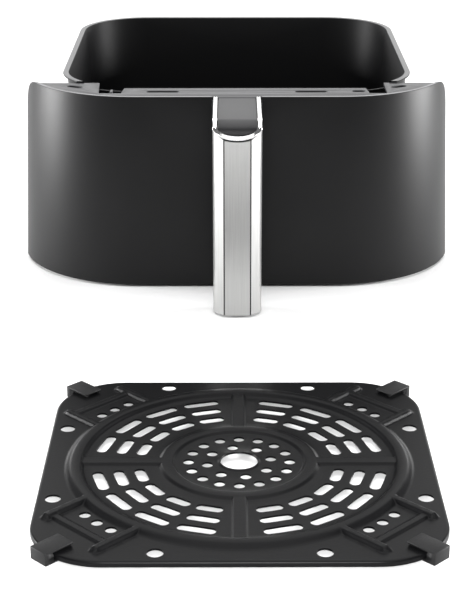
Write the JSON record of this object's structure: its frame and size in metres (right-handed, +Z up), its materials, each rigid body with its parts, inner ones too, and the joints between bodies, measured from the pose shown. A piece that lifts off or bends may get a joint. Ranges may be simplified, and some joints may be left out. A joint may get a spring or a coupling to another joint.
{
  "type": "air fryer drawer",
  "caption": "Pull-out air fryer drawer with a non-stick pan, wrap-round front shell and upright handle, and its perforated crisper plate with corner bumpers.",
  "frame": {"origin": "on the table, under the middle of the box that holds the drawer and the plate laid out in front of it", "axes": "+Z up, -Y towards the user along the handle, +X to the right as the front is seen"},
  "size_m": [0.2972, 0.6338, 0.1305],
  "materials": {
    "coated_pan": "satin non-stick coating",
    "coated_plate": "satin non-stick coating",
    "shell_plastic": "fine satin",
    "frame_plastic": "matte",
    "trim_plastic": "satin",
    "insert_plastic": "satin",
    "brushed_steel": "brushed lengthwise",
    "polished_chrome": "polished",
    "zinc_steel": "zinc plated",
    "silicone": "matte"
  },
  "bodies": {
    "drawer": {"pan": "coated_pan", "pan_bracket": "zinc_steel", "bracket_screw_left": "zinc_steel", "bracket_screw_right": "zinc_steel", "front_shell": "shell_plastic", "inner_frame": "frame_plastic", "frame_screw_lower_left": "zinc_steel", "frame_screw_lower_right": "zinc_steel", "frame_screw_upper_left": "zinc_steel", "frame_screw_upper_right": "zinc_steel", "top_trim": "trim_plastic", "handle_core": "frame_plastic", "handle_sleeve": "brushed_steel", "handle_bezel": "polished_chrome", "thumb_insert": "insert_plastic", "handle_end_cap": "frame_plastic", "handle_mount_plate": "zinc_steel", "handle_screw_left": "zinc_steel", "handle_screw_right": "zinc_steel"},
    "plate": {"crisper_plate": "coated_plate", "bumper_rear_right": "silicone", "bumper_rear_left": "silicone", "bumper_front_left": "silicone", "bumper_front_right": "silicone"}
  },
  "joints": [
    {"name": "plate_carry", "type": "slide", "parent": "drawer", "child": "plate", "axis": [0, 0.6097, 0.7926], "range_m": [0, 0.68]}
  ]
}
